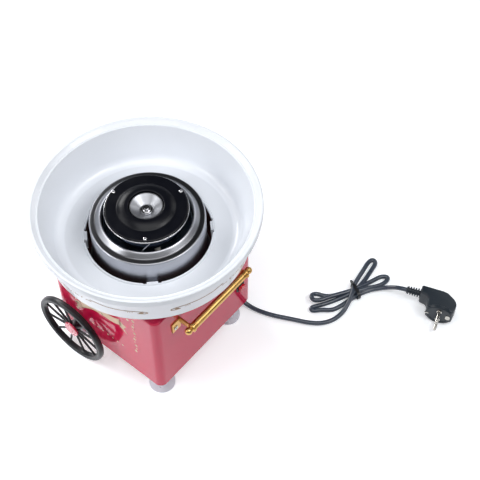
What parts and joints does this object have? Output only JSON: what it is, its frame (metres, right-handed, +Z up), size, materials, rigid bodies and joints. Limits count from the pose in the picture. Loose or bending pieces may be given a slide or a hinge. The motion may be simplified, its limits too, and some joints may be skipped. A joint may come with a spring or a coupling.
{
  "type": "cotton candy machine",
  "caption": "Tabletop cotton candy maker: cart-shaped housing with two spoked wheels, lift-off round bowl, heated spinner head, carrying handle and mains cord.",
  "frame": {"origin": "on the floor under the spinner head axis, at the bottom centre of the machine without its cord", "axes": "+Z up along the spinner axis, +X towards the side with the handle and the switch, -Y towards the side whose wheel is drawn in front"},
  "size_m": [0.475, 0.4179, 0.2594],
  "materials": {
    "housing_plastic": "gloss",
    "base_plastic": "matte",
    "liner_plastic": "satin",
    "foot_rubber": "satin",
    "bowl_plastic": "gloss",
    "drum_steel": "brushed",
    "shield_steel": "satin",
    "heater_alloy": "satin",
    "ceramic": "matte",
    "brass_contacts": "satin",
    "motor_steel": "satin",
    "magnet": "matte",
    "rotor_steel": "satin",
    "bearing_bronze": "satin",
    "black_rubber": "matte",
    "zinc_screws": "satin",
    "bright_screws": "polished",
    "wiring_plastic": "matte",
    "switch_plastic": "satin",
    "rocker_plastic": "gloss",
    "handle_brass": "polished",
    "handle_screws": "polished",
    "wheel_plastic": "satin",
    "cap_plastic": "gloss",
    "head_aluminium": "polished",
    "cup_aluminium": "polished",
    "head_plastic": "satin",
    "cord_rubber": "satin",
    "tie_plastic": "satin",
    "plug_plastic": "satin",
    "plug_metal": "satin"
  },
  "bodies": {
    "base": {"axle_bushes": "wheel_plastic", "axle_nuts": "zinc_screws", "base_plate": "base_plastic", "base_screws": "zinc_screws", "bearing_lower": "bearing_bronze", "bearing_upper": "bearing_bronze", "cord_clamp": "wiring_plastic", "cord_hank": "cord_rubber", "cord_lead": "cord_rubber", "cord_outlet": "cord_rubber", "cord_tail": "cord_rubber", "cord_tie": "tie_plastic", "drum_screws": "bright_screws", "drum_shroud": "drum_steel", "foot_front_left": "foot_rubber", "foot_front_right": "foot_rubber", "foot_rear_left": "foot_rubber", "foot_rear_right": "foot_rubber", "handle_balls": "handle_brass", "handle_bracket_front": "handle_brass", "handle_bracket_rear": "handle_brass", "handle_rod": "handle_brass", "handle_screws": "handle_screws", "heat_shield": "shield_steel", "heater_posts": "ceramic", "heater_ring": "heater_alloy", "heater_terminals": "brass_contacts", "housing": "housing_plastic", "motor_bracket": "motor_steel", "motor_can": "motor_steel", "motor_cap": "motor_steel", "motor_grommets": "black_rubber", "motor_magnets": "magnet", "motor_screws": "zinc_screws", "plug_body": "plug_plastic", "plug_earth": "plug_metal", "plug_pins": "plug_metal", "plug_relief": "plug_plastic", "shield_supports": "shield_steel", "switch_body": "switch_plastic", "terminal_block": "wiring_plastic", "thermal_fuse": "ceramic", "well_liner": "liner_plastic", "wheel_front_axle": "bright_screws", "wheel_rear_axle": "bright_screws"},
    "spinner_head": {"motor_shaft": "bright_screws", "motor_rotor": "rotor_steel", "cooling_fan": "wiring_plastic", "head_pan": "head_aluminium", "head_spacers": "head_aluminium", "head_cover": "head_plastic", "sugar_cup": "cup_aluminium", "head_screws": "bright_screws", "head_nut": "bright_screws"},
    "front_wheel": {"wheel_front": "wheel_plastic", "wheel_front_hub_cap": "cap_plastic"},
    "rear_wheel": {"wheel_rear": "wheel_plastic", "wheel_rear_hub_cap": "cap_plastic"},
    "power_rocker": {"switch_rocker": "rocker_plastic"},
    "floss_bowl": {"bowl": "bowl_plastic"}
  },
  "joints": [
    {"name": "spinner_spin", "type": "hinge", "parent": "base", "child": "spinner_head", "pos_m": [0, 0, 0.236], "axis": [0, 0, 1], "continuous": true},
    {"name": "front_wheel_spin", "type": "hinge", "parent": "base", "child": "front_wheel", "pos_m": [-0.05, -0.1135, 0.058], "axis": [0, 1, 0], "continuous": true},
    {"name": "rear_wheel_spin", "type": "hinge", "parent": "base", "child": "rear_wheel", "pos_m": [-0.05, 0.1135, 0.058], "axis": [0, 1, 0], "continuous": true},
    {"name": "power_switch", "type": "hinge", "parent": "base", "child": "power_rocker", "pos_m": [0.0925, 0.0695, 0.082], "axis": [0, 0, 1], "range_deg": [-12, 0]},
    {"name": "bowl_lift", "type": "slide", "parent": "base", "child": "floss_bowl", "axis": [0, 0, 1], "range_m": [0, 0.12]}
  ]
}
